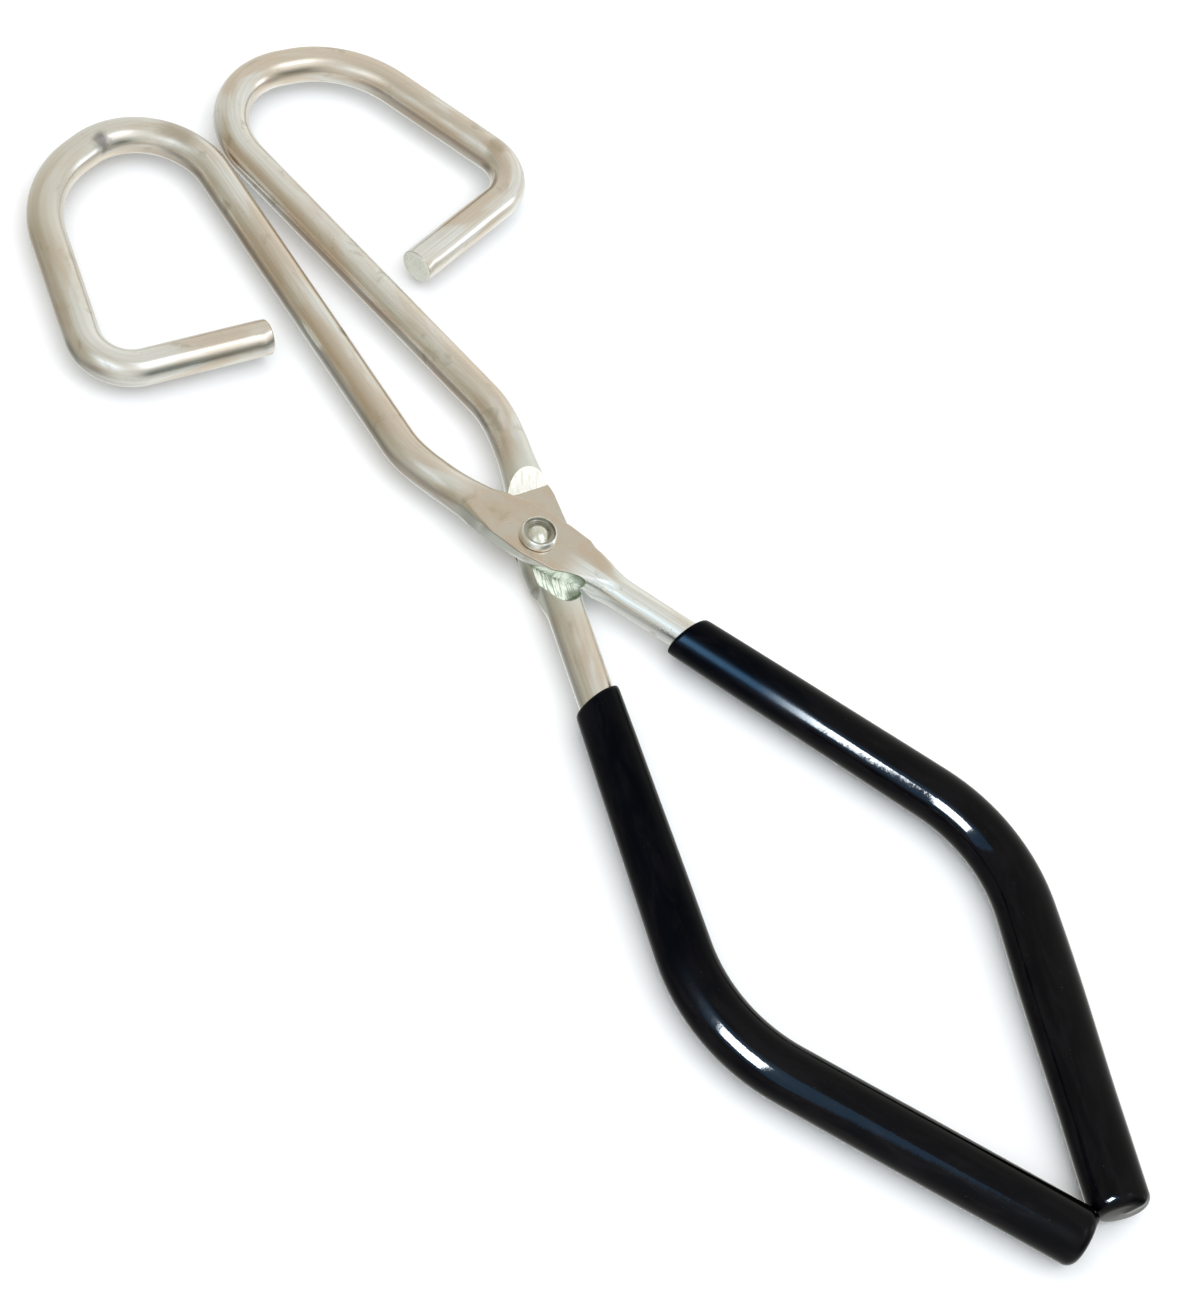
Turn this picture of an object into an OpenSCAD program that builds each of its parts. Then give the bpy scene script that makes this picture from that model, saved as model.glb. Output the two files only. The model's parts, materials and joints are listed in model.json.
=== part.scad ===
// Riveted scissor tongs bent from two round steel rods, shown closed.
// Each arm is one rod: a dipped handle, a flattened half lap at the rivet,
// a straight shaft and a jaw loop that curls back towards the shaft.
// +X points along the tongs to the jaws, +Z is up through the rivet, and the
// origin is on the surface that the tongs lie on, under the middle of their box.

/* [Rod] */
// Diameter of the steel rod
rod_d = 5.6; // [5.4:0.05:5.8]
// Angle of each arm to the long axis where the two rods cross
splay = 20.8; // [20.6:0.1:22]

/* [Shaft] */
// Straight length from the crossing to the shaft bend
neck_l = 20.5; // [20:0.5:24]
// Centreline radius of the shaft bend
shaft_bend_r = 15; // [12:0.5:18]
// Angle of the shaft bend
shaft_bend_a = 25.9; // [25:0.1:25.9]
// Straight length of the shaft
shaft_l = 55.4; // [50:0.1:56]

/* [Jaw loop] */
// Centreline radius of the inner front corner
inner_r = 12.5; // [11:0.5:14]
// Angle of the inner front corner
inner_a = 108.5; // [104:0.5:112]
// Straight length across the front
front_l = 2; // [1:0.5:4]
// Centreline radius of the outer front corner
outer_r = 17.3; // [15:0.1:19]
// Angle of the outer front corner
outer_a = 58.5; // [55:0.5:62]
// Straight length along the outside
side_l = 19; // [16:0.5:24]
// Centreline radius of the back corner
back_r = 7; // [6:0.5:8]
// Angle of the back corner
back_a = 96; // [90:1:98]
// Straight length of the free end
tip_l = 20; // [14:0.5:21]

/* [Handle] */
// Straight length from the crossing to the handle bend
handle_l = 68.5; // [60:0.5:70]
// Centreline radius of the handle bend
handle_bend_r = 28.4; // [24:0.1:32]
// Angle of the handle bend
handle_bend_a = 46.3; // [42:0.1:46.3]
// Straight length from the handle bend to the outer end of the grip
handle_end_l = 46.1; // [38:0.1:46.1]

/* [Half lap] */
// Width of the flattened lap
lap_w = 8.8; // [8.4:0.1:9.2]
// Length of the flattened lap, point to point
lap_l = 30; // [27:0.5:32]
// Length of the flat seat that the other arm lies on
seat_l = 18.6; // [18:0.2:20]
// Slope of the steps at the ends of the seat, from the seat's plane
step_a = 49; // [40:1:60]
// Gap between the two seats
seat_gap = 0.1; // [0.06:0.02:0.2]
// How far the flattened face stands over the rod's crown
face_rise = 0.05; // [0.03:0.01:0.1]

/* [Rivet] */
// Distance of the rivet from the crossing, towards the jaws
rivet_x = 0.3; // [0:0.1:0.5]
// Distance of the rivet from the crossing, to the side of the upper arm's jaw
rivet_y = 1.4; // [0:0.1:1.5]
// Diameter of the rivet's shank
shank_d = 4; // [3.6:0.1:4.3]
// Radial clearance of the shank in the upper arm
shank_clearance = 0.05; // [0.02:0.01:0.08]
// Diameter of the set head
set_head_d = 5.9; // [5.6:0.1:6.2]
// Height of the set head
set_head_h = 1.3; // [1.2:0.05:1.4]
// Width of the raised rim of the set head
rim_w = 0.35; // [0.3:0.05:0.5]
// Depth of the ring-shaped recess inside the rim
recess_h = 0.75; // [0.5:0.05:0.8]
// Diameter of the dome in the middle of the set head
dome_d = 3.3; // [3:0.1:3.6]
// Diameter of the low peened end underneath
peened_d = 4.6; // [4.5:0.1:5]
// Height of the low peened end underneath
peened_h = 0.5; // [0.3:0.05:0.8]

/* [Grips] */
// Distance from the crossing to the grip's lip, along the rod's axis
lip_at = 26.5; // [25:0.5:32]
// Outer diameter at the lip
lip_d = 7.3; // [7:0.1:7.8]
// Outer diameter round the handle bend
bend_d = 8.5; // [8.2:0.1:8.8]
// Outer diameter near the end
end_d = 8.9; // [8.6:0.1:9]
// Radius of the rounded end
end_edge_r = 1.7; // [1.6:0.1:2.4]
// Thickness of the coating over the rod's end
end_wall = 1.8; // [1.2:0.1:2.4]

/* [Hidden] */
$fn = 64;
rod_r = rod_d / 2;
band_rise = 0.05;
band_l = 1;
seat_z = seat_gap / 2;
face_z = rod_r + face_rise;
head_gap = 0.05;
cut = 1;
// Depth that pieces of one profile are sunk into each other
overlap = 0.25;
// How far the lap's forging starts below the rod's axis
lap_root = rod_r / 3;

// Radius of the two arcs that outline the lap
lap_arc_r = (lap_l * lap_l + lap_w * lap_w) / (4 * lap_w);
// Run of a step over the rod's lower half
step_run = rod_r / tan(step_a);

// Each stretch is [straight length, bend radius, bend angle], left turns positive
jaw_run = [
    [neck_l, shaft_bend_r, -shaft_bend_a],
    [shaft_l, inner_r, inner_a],
    [front_l, outer_r, outer_a],
    [side_l, back_r, back_a],
    [tip_l, 0, 0],
];
handle_run = [
    [handle_l, handle_bend_r, -handle_bend_a],
    [handle_end_l - end_wall, 0, 0],
];

// Point after a straight, and point after a bend, from a point and a heading
function after_straight(p, h, l) = p + l * [cos(h), sin(h)];
function after_bend(p, h, r, a) = p + sign(a) * r * [sin(h + a) - sin(h), cos(h) - cos(h + a)];

// Front of the loop, where its inner corner turns across the long axis
shaft_h = splay - shaft_bend_a;
shaft_from = after_bend(after_straight([0, 0], splay, neck_l), splay, shaft_bend_r, -shaft_bend_a);
shaft_to = after_straight(shaft_from, shaft_h, shaft_l);
front_x = shaft_to.x - inner_r * sin(shaft_h) + inner_r + rod_r;

// Rearmost line of the rounded grip end
handle_h = 180 + splay - handle_bend_a;
bend_from = after_straight([0, 0], 180 + splay, handle_l);
bend_to = after_bend(bend_from, 180 + splay, handle_bend_r, -handle_bend_a);
grip_end = after_straight(bend_to, handle_h, handle_end_l);
rear_x = grip_end.x - end_edge_r * (1 + cos(handle_h)) - (end_d / 2 - end_edge_r) * sin(handle_h);

// Point where the axes of the two rods cross, with the tongs lying on z = 0
crossing = [-(front_x + rear_x) / 2, 0, end_d / 2];

module plated_steel() {
    color([0.78, 0.76, 0.72]) children();
}

module black_coating() {
    color([0.03, 0.03, 0.035]) children();
}

// Straight round bar along +X
module bar(d, l) {
    rotate([0, 90, 0])
        cylinder(d = d, h = l);
}

// Thin band over the joint of a straight and a bend, which makes them one solid
module joint_band(d) {
    translate([-band_l / 2, 0, 0])
        bar(d + 2 * band_rise, band_l);
}

// Moves its children to the end of a bend
module past_bend(r, a) {
    translate([r * sin(abs(a)), sign(a) * r * (1 - cos(a)), 0])
        rotate([0, 0, a])
            children();
}

// Bend of a round bar that starts at the origin along +X
module round_bend(d, r, a) {
    side = sign(a);
    translate([0, side * r, 0])
        rotate([0, 0, side > 0 ? -90 : 90 + a])
            rotate_extrude(angle = abs(a))
                translate([r, 0])
                    circle(d = d);
    joint_band(d);
    past_bend(r, a)
        joint_band(d);
}

// What follows the straight of stretch i of a run: its bend, then the next stretch
module rod_beyond(run, i = 0) {
    if (i < len(run) - 1)
        translate([run[i][0], 0, 0]) {
            round_bend(rod_d, run[i][1], run[i][2]);
            past_bend(run[i][1], run[i][2]) {
                bar(rod_d, run[i + 1][0]);
                rod_beyond(run, i + 1);
            }
        }
}

// Outline of the flattened lap, pointed at both ends
module lap_outline() {
    intersection_for (side = [-1, 1])
        translate([0, side * (lap_arc_r - lap_w / 2)])
            circle(r = lap_arc_r, $fn = 180);
}

// What the forging takes from the rod's lower half, with a sloped step at each end
module seat_cut() {
    half = seat_l / 2;
    deep = rod_r + cut;
    run = deep / tan(step_a);
    rotate([90, 0, 0])
        linear_extrude(height = lap_w + 2 * cut, center = true)
            polygon([
                [-half, seat_z],
                [half, seat_z],
                [half + run, seat_z - deep],
                [-half - run, seat_z - deep],
            ]);
}

// Straight stretch through the crossing, with the lap and the rivet's hole
module lapped_middle(hole_d, hole_side) {
    hole_at = [
        rivet_x * cos(splay) + hole_side * rivet_y * sin(splay),
        hole_side * rivet_y * cos(splay) - rivet_x * sin(splay),
    ];
    difference() {
        union() {
            translate([-handle_l, 0, 0])
                bar(rod_d, handle_l + neck_l);
            translate([0, 0, -lap_root])
                linear_extrude(height = face_z + lap_root)
                    lap_outline();
        }
        seat_cut();
        translate([hole_at.x, hole_at.y, -cut])
            cylinder(d = hole_d, h = face_z + 2 * cut);
    }
}

// One arm about the crossing, with its seat facing down and its hole to the left (1) or right (-1)
module arm(hole_d, hole_side) {
    rotate([0, 0, splay]) {
        lapped_middle(hole_d, hole_side);
        rod_beyond(jaw_run);
        rotate([0, 0, 180])
            rod_beyond(handle_run);
    }
}

// Tapered front of the grip, from ahead of the lip to the handle bend
module grip_front() {
    spare = lip_d;
    translate([lip_at - spare, 0, 0])
        rotate([0, 90, 0])
            rotate_extrude()
                polygon([
                    [0, 0],
                    [lip_d / 2, 0],
                    [lip_d / 2, spare],
                    [bend_d / 2, spare + handle_l - lip_at],
                    [0, spare + handle_l - lip_at],
                ]);
}

// Everything ahead of the lip, which is square to the long axis, not to the rod
module above_dip_line() {
    w = 2 * end_d;
    translate([-lip_at * cos(splay), -lip_at, -w / 2])
        cube([w, 2 * lip_at, w]);
}

// Rear of the grip, from the handle bend to the rounded end
module grip_rear() {
    l = handle_end_l;
    flat_r = end_d / 2 - end_edge_r;
    rotate([0, 90, 0])
        rotate_extrude() {
            polygon([
                [0, 0],
                [bend_d / 2, 0],
                [end_d / 2, l - end_edge_r],
                [0, l - end_edge_r],
            ]);
            square([flat_r, l]);
            translate([flat_r, l - end_edge_r])
                intersection() {
                    circle(r = end_edge_r);
                    square(end_edge_r);
                }
        }
}

// One grip about the crossing, dipped over the handle of arm()
module grip() {
    difference() {
        rotate([0, 0, 180 + splay])
            difference() {
                union() {
                    grip_front();
                    translate([handle_l, 0, 0]) {
                        round_bend(bend_d, handle_bend_r, -handle_bend_a);
                        past_bend(handle_bend_r, -handle_bend_a)
                            grip_rear();
                    }
                }
                bar(rod_d, handle_l);
                rod_beyond(handle_run);
            }
        above_dip_line();
    }
}

// Profile of the set head above its underside: rim, recess and dome
module set_head_profile() {
    floor_h = set_head_h - recess_h;
    square([set_head_d / 2, floor_h]);
    translate([set_head_d / 2 - rim_w, 0])
        square([rim_w, set_head_h]);
    dome_profile(dome_d, recess_h, floor_h, overlap);
}

// Profile of a spherical cap of a given base and height, standing at height z and sunk by root
module dome_profile(d, h, z, root) {
    r = (d * d / 4 + h * h) / (2 * h);
    intersection() {
        translate([0, z + h - r])
            circle(r = r, $fn = 96);
        translate([0, z - root])
            square([d / 2, h + root + cut]);
    }
}

module upper_arm() {
    plated_steel()
        translate(crossing)
            arm(shank_d + 2 * shank_clearance, 1);
}

module lower_arm() {
    plated_steel()
        translate(crossing)
            rotate([180, 0, 0])
                arm(shank_d, -1);
}

// Shank, set head on top, which clears the upper arm, and peened end below
module pivot_rivet() {
    head_z = face_z + head_gap;
    plated_steel()
        translate(crossing + [rivet_x, rivet_y, 0])
            rotate_extrude() {
                translate([0, -face_z - overlap])
                    square([shank_d / 2, face_z + head_z + 2 * overlap]);
                translate([0, head_z])
                    set_head_profile();
                translate([0, -face_z])
                    mirror([0, 1])
                        dome_profile(peened_d, peened_h, 0, 0);
            }
}

module upper_grip() {
    black_coating()
        translate(crossing)
            grip();
}

module lower_grip() {
    black_coating()
        translate(crossing)
            rotate([180, 0, 0])
                grip();
}

upper_arm();
lower_arm();
pivot_rivet();
upper_grip();
lower_grip();
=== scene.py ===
"""Looks of the riveted scissor tongs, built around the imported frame.

Each arm is one round rod, swept along the same straights and bends as its CAD node, with a
forged half lap at the rivet and a sheared tip. A glossy coating is dipped over each handle.
"""

import json
import math

import bmesh
import bpy
from mathutils import Matrix, Quaternion, Vector, noise


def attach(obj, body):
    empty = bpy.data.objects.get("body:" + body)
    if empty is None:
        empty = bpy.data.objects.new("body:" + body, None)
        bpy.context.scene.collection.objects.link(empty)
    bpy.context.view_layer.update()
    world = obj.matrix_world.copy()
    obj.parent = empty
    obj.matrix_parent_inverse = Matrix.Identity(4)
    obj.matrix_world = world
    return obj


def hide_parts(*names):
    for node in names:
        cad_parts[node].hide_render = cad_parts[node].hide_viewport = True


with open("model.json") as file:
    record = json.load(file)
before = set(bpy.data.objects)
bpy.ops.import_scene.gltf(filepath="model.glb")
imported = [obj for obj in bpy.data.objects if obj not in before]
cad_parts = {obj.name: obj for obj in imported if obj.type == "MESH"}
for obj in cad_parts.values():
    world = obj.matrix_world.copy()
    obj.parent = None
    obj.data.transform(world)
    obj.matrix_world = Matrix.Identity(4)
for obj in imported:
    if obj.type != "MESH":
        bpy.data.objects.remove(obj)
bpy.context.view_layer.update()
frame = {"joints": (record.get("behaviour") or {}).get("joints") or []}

# Lengths below are in millimetres and angles in degrees, and MM brings a length to metres.
MM = 0.001

# Rod, and the straights and bends of its two runs from the crossing: (straight, radius, angle).
# The coating's run goes on past the rod's end.
ROD_R = 2.8
SPLAY = 20.8
JAW_RUN = [(20.5, 15, -25.9), (55.4, 12.5, 108.5), (2, 17.3, 58.5), (19, 7, 96), (20, 0, 0)]
HANDLE_BEND = (68.5, 28.4, -46.3)
HANDLE_RUN = [HANDLE_BEND, (44.3, 0, 0)]
GRIP_RUN = [HANDLE_BEND, (46.1, 0, 0)]

# Half widths of the lap's flat face, left and right of the rod's axis: (distance, half width)
LEFT_FACE = [
    (-16, 0.3), (-11.8, 1.0), (-7, 3.2), (-3.8, 4.6), (1.5, 5.1), (6, 4.7), (9, 3.7), (13, 2.5),
    (18, 0.6),
]
RIGHT_FACE = [
    (-16, 0.2), (-12, 0.5), (-7.6, 2.3), (-5.8, 3.1), (-2, 3.4), (5, 3.2), (8, 2.3), (11, 0.8),
    (15, 0.3),
]

# Least half widths of the forged body under the left of the face: (distance, half width)
LEFT_BODY = [(-12, 2.8), (-8, 3.2), (-4, 4.3), (1, 4.7), (4, 4.85), (8, 4.5), (12, 3.6), (17, 2.8)]

# Half lap: heights of its face and seat, width of its worn edge, and its hole
FACE_Z = 2.83
SEAT_Z = 0.05
LAP_EDGE = 0.28
HOLE_R = 2.05

# The forged section is whole up to the first distance from the crossing and gone at the second
LAP_FULL = 8.0
LAP_GONE = 19.5

# Least height of a wall, the rise of its rounded corner per width, and the undercut on the right
WALL_LEAST = 0.3
CORNER_RISE = 1.25
RIGHT_UNDERCUT = 0.4

# Step on the jaw side: its place and slope, and its slant, a shift per width from a line
STEP_AT = 9.05
STEP_SLOPE = 47
STEP_TILT = 0.19
STEP_TURNS_AT = -1.5

# Curved step behind, made by a punch, and the seat's torn part in front of it
PUNCH_AT = 10.1
PUNCH_SLOPE = 57
PUNCH_BOW_RIGHT = 0.4
PUNCH_BOW_LEFT = 0.1
PUNCH_END = 12.4
TORN_FROM = 3.0

# Stretches that rise from 0 to 1 and fall back to 0: (start, full, fading, gone)
NECK_STRETCH = (10, 14, 25, 30)
SLANT_STRETCH = (3, 8, 13, 19)

# Where the neck on the jaw side sways sideways, and half the length of the sway
SWAY_AT = 16.0
SWAY_HALF = 7.5

# Heights of the torn marks and of the ridges in a step's face
MARK_H = 0.06
RIDGE_H = 0.09

# Sheared tip: its worn edge as (distance from the end, inset), its unevenness and its hollow
TIP_EDGE = [(-0.22, 0.04), (-0.08, 0.16), (0.0, 0.38), (-0.04, 1.0), (-0.07, 1.9)]
TIP_UNEVEN = 0.012
TIP_HOLLOW = 0.08

# Rivet, whose axis stands off the crossing of the two rods
RIVET_OFF = (0.3, 1.4)
SHANK_R = 1.97
SET_HEAD_Z = 2.92
SET_HEAD_TOP = 4.2
SET_HEAD_R = 2.95
RIM_W = 0.56
RECESS_H = 0.75
DOME_R = 1.66
DOME_BELOW_RIM = 0.06
PEENED_R = 2.28
PEENED_H = 0.46

# Worn shoulder of the set head: (out from its radius, up from its top)
SHOULDER = [(-0.50, 0.0), (-0.43, -0.04), (-0.26, -0.24), (-0.12, -0.5), (-0.03, -0.8), (0.0, -1.0)]

# Unevenness of the rivet: the share of its radius, and the lift of its rim
RIVET_UNEVEN = 0.012
RIM_LIFT = 0.035

# Grips: lip, end and bore, and how far from the lip the coating stays cut square to the tongs
LIP_AT = 26.5
LIP_R = 3.65
LIP_EDGE = 0.34
LIP_BLEND = 14
END_R = 4.44
END_EDGE = 1.7
BORE_R = 2.82

# Sway of the coating's surface, and the swelling near its end: (distance, half length)
COATING_SWAY = 0.03
SWELLING = (101, 22)

# Drip nub at the end of a coating: height, half width, half length and distance from the end
NUB_H = 0.3
NUB_W = 0.75
NUB_L = 0.6
NUB_BACK = 0.45

# Density of the swept meshes
AROUND = 96
GRIP_AROUND = 64
RIVET_AROUND = 96
TURN_STEP = 3.0
STRAIGHT_STEP = 1.6
LAP_STEP = 0.35
PUNCH_STEP = 0.16

# Points of the lap's section: up a wall, round a corner, across the face, and round the belly
WALL_N = 6
CORNER_N = 10
FACE_N = 12
BELLY_N = AROUND - 2 * (WALL_N + CORNER_N) - FACE_N

# Angles of the round rod that a wall and a corner take up
WALL_TURN = 20.0
CORNER_TURN = 40.0


def clamp01(x):
    return min(1.0, max(0.0, x))


def smooth(x):
    """Smooth step from 0 at x = 0 to 1 at x = 1."""
    x = clamp01(x)
    return x * x * (3 - 2 * x)


def mix(a, b, t):
    return a + (b - a) * t


def hump(x, centre, half_width):
    """1 at the centre, falling smoothly to 0 at half_width from it."""
    return 1 - smooth(abs(x - centre) / half_width)


def within(x, stretch):
    """Smooth rise from 0 to 1 and back over a (start, full, fading, gone) stretch."""
    start, full, fading, gone = stretch
    return smooth((x - start) / (full - start)) * (1 - smooth((x - fading) / (gone - fading)))


# ---------------------------------------------------------------- centrelines


def trace(run, heading):
    """Stretches of a run from the rivet: (start distance, length, point, heading, curvature)."""
    stretches = []
    start, point, heading = 0.0, Vector((0.0, 0.0)), math.radians(heading)
    for straight, radius, angle in run:
        stretches.append((start, straight, point.copy(), heading, 0.0))
        start += straight
        point += straight * Vector((math.cos(heading), math.sin(heading)))
        if radius:
            curvature = math.copysign(1 / radius, angle)
            length = radius * math.radians(abs(angle))
            stretches.append((start, length, point.copy(), heading, curvature))
            turned = heading + math.radians(angle)
            across = Vector((math.sin(turned) - math.sin(heading), math.cos(heading) - math.cos(turned)))
            point += across / curvature
            heading = turned
            start += length
    return stretches


def run_length(stretches):
    return stretches[-1][0] + stretches[-1][1]


def place(stretches, distance):
    """Point and heading at a distance along a run."""
    start, _, point, heading, curvature = [s for s in stretches if s[0] <= distance + 1e-9][-1]
    ahead = distance - start
    if not curvature:
        return point + ahead * Vector((math.cos(heading), math.sin(heading))), heading
    turned = heading + ahead * curvature
    across = Vector((math.sin(turned) - math.sin(heading), math.cos(heading) - math.cos(turned)))
    return point + across / curvature, turned


def stations(stretches):
    """Distances along a run at which a swept mesh needs a ring."""
    found = []
    for start, length, _, _, curvature in stretches:
        step = math.radians(TURN_STEP) / abs(curvature) if curvature else STRAIGHT_STEP
        count = max(1, math.ceil(length / step))
        found += [start + length * i / count for i in range(count)]
    return found + [run_length(stretches)]


jaw = trace(JAW_RUN, SPLAY)
handle = trace(HANDLE_RUN, SPLAY + 180)
coating = trace(GRIP_RUN, SPLAY + 180)


def arm_frame(along):
    """Point and left-hand direction of the arm at a signed distance towards the jaw."""
    if along >= 0:
        point, heading = place(jaw, along)
    else:
        point, heading = place(handle, -along)
        heading += math.pi
    return point, Vector((-math.sin(heading), math.cos(heading)))


def grip_frame(along):
    """Point and left-hand direction of the grip at a distance from the rivet."""
    point, heading = place(coating, along)
    return point, Vector((-math.sin(heading), math.cos(heading)))


def to_space(point, left, lateral, height):
    """Point of a section in the frame of the crossing, in millimetres."""
    return Vector((point.x + left.x * lateral, point.y + left.y * lateral, height))


# ---------------------------------------------------------------- meshes


def new_mesh_layers():
    """An empty bmesh with the layer that holds each point's place on the straightened rod."""
    bm = bmesh.new()
    return bm, bm.verts.layers.float_vector.new("bar")


def add_ring(bm, bar, frame_of, along, section):
    """Ring of vertices from a section's (lateral, height) points."""
    point, left = frame_of(along)
    ring = []
    for lateral, height in section:
        vert = bm.verts.new(to_space(point, left, lateral, height))
        vert[bar] = (along, lateral, height)
        ring.append(vert)
    return ring


def bridge(bm, low, high):
    """Quads between two rings of the same count."""
    count = len(low)
    return [
        bm.faces.new((low[i], low[(i + 1) % count], high[(i + 1) % count], high[i]))
        for i in range(count)
    ]


def close_fan(bm, ring, middle):
    """Triangles from a ring to a vertex in its middle."""
    count = len(ring)
    return [bm.faces.new((ring[i], ring[(i + 1) % count], middle)) for i in range(count)]


def close_ring(bm, bar, ring, along_shift, frame_of, along):
    """Fan from a ring to a new vertex in its middle, along_shift further along."""
    point, left = frame_of(along + along_shift)
    lateral = sum(v[bar].y for v in ring) / len(ring)
    height = sum(v[bar].z for v in ring) / len(ring)
    middle = bm.verts.new(to_space(point, left, lateral, height))
    middle[bar] = (along + along_shift, lateral, height)
    return close_fan(bm, ring, middle)


def finish_mesh(bm, sharp=35):
    """Outward normals, smooth faces, and sharp edges where two faces meet at an angle."""
    bmesh.ops.recalc_face_normals(bm, faces=bm.faces[:])
    for face in bm.faces:
        face.smooth = True
    for edge in bm.edges:
        if len(edge.link_faces) == 2 and edge.calc_face_angle() > math.radians(sharp):
            edge.smooth = False


def make_object(name, bm, turned=False):
    """Object from a bmesh about the crossing, turned over for the lower half."""
    turn = Matrix.Rotation(math.pi, 4, "X") if turned else Matrix.Identity(4)
    bm.transform(Matrix.Translation(crossing) @ turn @ Matrix.Scale(MM, 4))
    mesh = bpy.data.meshes.new(name)
    bm.to_mesh(mesh)
    bm.free()
    piece = bpy.data.objects.new(name, mesh)
    bpy.context.scene.collection.objects.link(piece)
    return piece


pivot = Vector(frame["joints"][0]["pos_m"])
crossing = pivot - Vector((*RIVET_OFF, 0)) * MM


# ---------------------------------------------------------------- arms


def along_curve(points, along):
    """Smooth curve through (distance, value) points, level beyond the first and the last."""
    if along <= points[0][0]:
        return points[0][1]
    for (a, low), (b, high) in zip(points, points[1:]):
        if along <= b:
            t = (along - a) / (b - a)
            return mix(low, high, mix(t, smooth(t), 0.35))
    return points[-1][1]


def step_height(along, lateral):
    """Lowest height that the forging leaves at a point of the rod."""
    if along >= 0:
        return SEAT_Z - max(0.0, along - STEP_AT) * math.tan(math.radians(STEP_SLOPE))
    bow = PUNCH_BOW_RIGHT if lateral < 0 else PUNCH_BOW_LEFT
    starts = PUNCH_AT - bow * lateral ** 2
    return SEAT_Z - max(0.0, -along - starts) * math.tan(math.radians(PUNCH_SLOPE))


def wall_points(face, low):
    """(lateral, height) up one wall of the lap and round to the edge of its face."""
    body = max(face + LAP_EDGE, low)
    across = body - face
    up = min(CORNER_RISE * across, FACE_Z - WALL_LEAST)
    undercut = body - low
    points = []
    for k in range(WALL_N):
        t = k / WALL_N
        points.append((body - undercut * (1 - t) ** 2, (FACE_Z - up) * t))
    for k in range(CORNER_N):
        turn = math.radians(90 * k / CORNER_N)
        points.append((face + across * math.cos(turn), FACE_Z - up + up * math.sin(turn)))
    return points


def lap_section(along):
    """(angle on the round rod, lateral, height) of each point of the lap's own section."""
    left = along_curve(LEFT_FACE, along)
    right = along_curve(RIGHT_FACE, along)
    low_left = along_curve(LEFT_BODY, along)
    low_right = max(ROD_R, right - RIGHT_UNDERCUT)
    side_n = WALL_N + CORNER_N
    start = WALL_TURN + CORNER_TURN
    turns = [WALL_TURN * k / WALL_N for k in range(WALL_N)]
    turns += [WALL_TURN + CORNER_TURN * k / CORNER_N for k in range(CORNER_N)]
    points = [(turn, x, z) for turn, (x, z) in zip(turns, wall_points(left, low_left))]
    for k in range(FACE_N + 1):
        angle = start + (180 - 2 * start) * k / FACE_N
        points.append((angle, mix(left, -right, k / FACE_N), FACE_Z))
    other = [(180 - turn, -x, z) for turn, (x, z) in zip(turns, wall_points(right, low_right))]
    points += list(reversed(other))[:side_n - 1]
    for k in range(BELLY_N):
        angle = 180 + 180 * k / BELLY_N
        turn = math.radians(angle)
        side = low_left if angle > 270 else low_right
        points.append((angle, side * math.cos(turn), ROD_R * math.sin(turn)))
    return points


class Build:
    """What differs between the two arms: where the lap lies, and how the necks beside it run."""

    def __init__(self, lap_shift, neck_sway, neck_r, rear_sway, seed):
        self.lap_shift = lap_shift
        self.neck_sway = neck_sway
        self.neck_r = neck_r
        self.rear_sway = rear_sway
        self.seed = seed


def arm_section(along, build):
    """Section of the arm: round, or blended into the lap near the rivet."""
    flat = 1 - smooth((abs(along) - LAP_FULL) / (LAP_GONE - LAP_FULL))
    at = along - build.lap_shift
    in_neck = within(-along, NECK_STRETCH)
    radius = mix(ROD_R, build.neck_r, in_neck)
    sway = build.neck_sway * hump(along, SWAY_AT, SWAY_HALF) + build.rear_sway * in_neck
    section = []
    for angle, lateral, height in lap_section(at):
        turn = math.radians(angle)
        x = mix(radius * math.cos(turn), lateral * radius / ROD_R, flat) + sway
        z = mix(radius * math.sin(turn), height * radius / ROD_R, flat)
        section.append((x, max(z, step_height(along, x)) if abs(along) < PUNCH_END else z))
    return section


def step_stations():
    """Distances at which the jaw-side step's edge passes through a point of the belly."""
    slope = math.tan(math.radians(STEP_SLOPE))
    drops = [ROD_R * math.sin(math.pi * k / BELLY_N) for k in range(BELLY_N // 2 + 1)]
    return [STEP_AT + (SEAT_Z + drop) / slope for drop in drops]


def evenly(start, end, step):
    """Values from just after start up to end, no further apart than step."""
    count = math.ceil((end - start) / step)
    return [mix(start, end, (i + 1) / count) for i in range(count)]


def arm_stations():
    """Every station of an arm, from the rod's end in the grip to the tip of the jaw."""
    steps = step_stations()
    jaw_side = evenly(0, STEP_AT, LAP_STEP) + steps + evenly(steps[-1], LAP_GONE, LAP_STEP)
    jaw_side += [s for s in stations(jaw) if s > LAP_GONE + LAP_STEP]
    behind = evenly(0, 4, LAP_STEP) + evenly(4, PUNCH_END + 0.3, PUNCH_STEP)
    behind += evenly(PUNCH_END + 0.3, LAP_GONE, LAP_STEP)
    behind += [s for s in stations(handle) if s > LAP_GONE + LAP_STEP]
    return [-s for s in reversed(behind)] + [0.0] + jaw_side, steps


def split_step_row(bm, inner, outer):
    """Triangles between two rings of a step, cut so that an edge follows the step's crease."""
    first = AROUND - BELLY_N
    made = []
    for j in range(AROUND):
        k = (j + 1) % AROUND
        if first <= j and j - first < BELLY_N // 2:
            made.append(bm.faces.new((inner[j], outer[j], outer[k])))
            made.append(bm.faces.new((inner[j], outer[k], inner[k])))
        elif first <= j:
            made.append(bm.faces.new((inner[j], outer[j], inner[k])))
            made.append(bm.faces.new((outer[j], outer[k], inner[k])))
        else:
            made.append(bm.faces.new((inner[j], outer[j], outer[k], inner[k])))
    return made


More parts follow.
